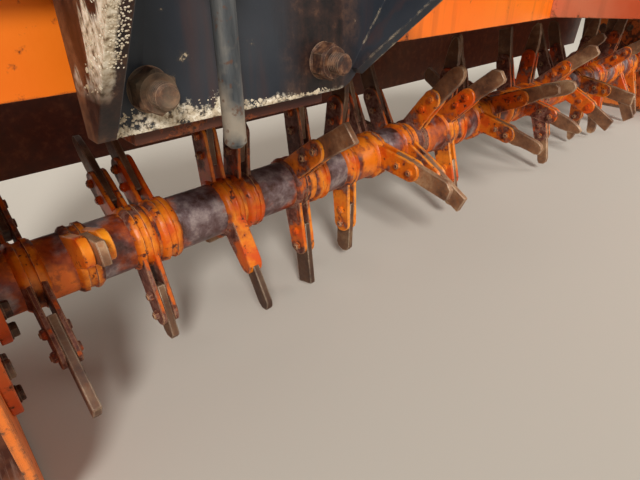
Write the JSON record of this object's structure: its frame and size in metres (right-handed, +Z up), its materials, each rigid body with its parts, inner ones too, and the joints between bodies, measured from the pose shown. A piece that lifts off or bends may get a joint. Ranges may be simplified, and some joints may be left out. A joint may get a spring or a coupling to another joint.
{
  "type": "horizontal-rotor power harrow",
  "caption": "Three-point mounted power harrow: a horizontal rotor with clamped steel tines under an open orange hood with a hinged rear board.",
  "frame": {"origin": "on the ground, at the middle of the machine's length and width", "axes": "+X along the rotor to the right, -Y the front towards the tractor, +Z up"},
  "size_m": [3.27, 1.042, 1.38],
  "materials": {
    "orange_paint": "worn satin enamel",
    "rotor_paint": "chipped enamel with rust spots, worn to brown steel",
    "worn_steel": "brown steel, worn",
    "rusty_sole": "brown rust, worn",
    "bracket_paint": "blue-black enamel with dried mud",
    "rusty_fastener": "rusty",
    "grey_bar": "grey with mud film",
    "pin_steel": "bright worn steel",
    "gearbox_iron": "painted casting",
    "shield_paint": "black satin"
  },
  "bodies": {
    "frame": {"hood_front_sheet": "orange_paint", "hood_deck": "orange_paint", "hood_rear_wall": "orange_paint", "side_plate_left": "orange_paint", "side_plate_right": "orange_paint", "front_beam": "orange_paint", "rear_beam": "orange_paint", "end_shield_left": "orange_paint", "end_shield_right": "orange_paint", "hinge_lugs": "orange_paint", "mast_leg_left": "orange_paint", "mast_leg_right": "orange_paint", "mast_brace_left": "orange_paint", "mast_brace_right": "orange_paint", "mast_head": "orange_paint", "link_bracket_left": "orange_paint", "link_bracket_right": "orange_paint", "gear_case": "orange_paint", "gear_case_cover": "orange_paint", "skid_left": "rusty_sole", "skid_right": "rusty_sole", "stand_bracket_left": "bracket_paint", "stand_bracket_right": "bracket_paint", "bracket_pad_left": "orange_paint", "bracket_pad_right": "orange_paint", "bracket_studs_left": "rusty_fastener", "bracket_studs_right": "rusty_fastener", "link_pin_left": "pin_steel", "link_pin_right": "pin_steel", "hinge_pins": "pin_steel", "gearbox": "gearbox_iron", "input_shield": "shield_paint", "cross_tube": "orange_paint", "bearing_housing": "gearbox_iron"},
    "rotor": {"tined_rotor": "rotor_paint", "rotor_stubs": "worn_steel"},
    "rear_board": {"rear_board": "orange_paint", "board_knuckles": "orange_paint"},
    "stand_leg_left": {"stand_leg_left": "grey_bar"},
    "stand_leg_right": {"stand_leg_right": "grey_bar"},
    "input": {"input_shaft": "pin_steel"}
  },
  "joints": [
    {"name": "rotor_spin", "type": "hinge", "parent": "frame", "child": "rotor", "pos_m": [0, 0.121, 0.27], "axis": [1, 0, 0], "continuous": true},
    {"name": "input_spin", "type": "hinge", "parent": "frame", "child": "input", "pos_m": [0, -0.109, 0.91], "axis": [0, -1, 0], "continuous": true},
    {"name": "rear_board_lift", "type": "hinge", "parent": "frame", "child": "rear_board", "pos_m": [0, 0.456, 0.585], "axis": [1, 0, 0], "range_deg": [0, 60]},
    {"name": "stand_leg_left_drop", "type": "slide", "parent": "frame", "child": "stand_leg_left", "axis": [0, 0, 1], "range_m": [-0.53, 0]},
    {"name": "stand_leg_right_drop", "type": "slide", "parent": "frame", "child": "stand_leg_right", "axis": [0, 0, 1], "range_m": [-0.53, 0]}
  ],
  "couplings": [
    {"joint": "input_spin", "follows": "rotor_spin", "ratio": 2.2}
  ]
}
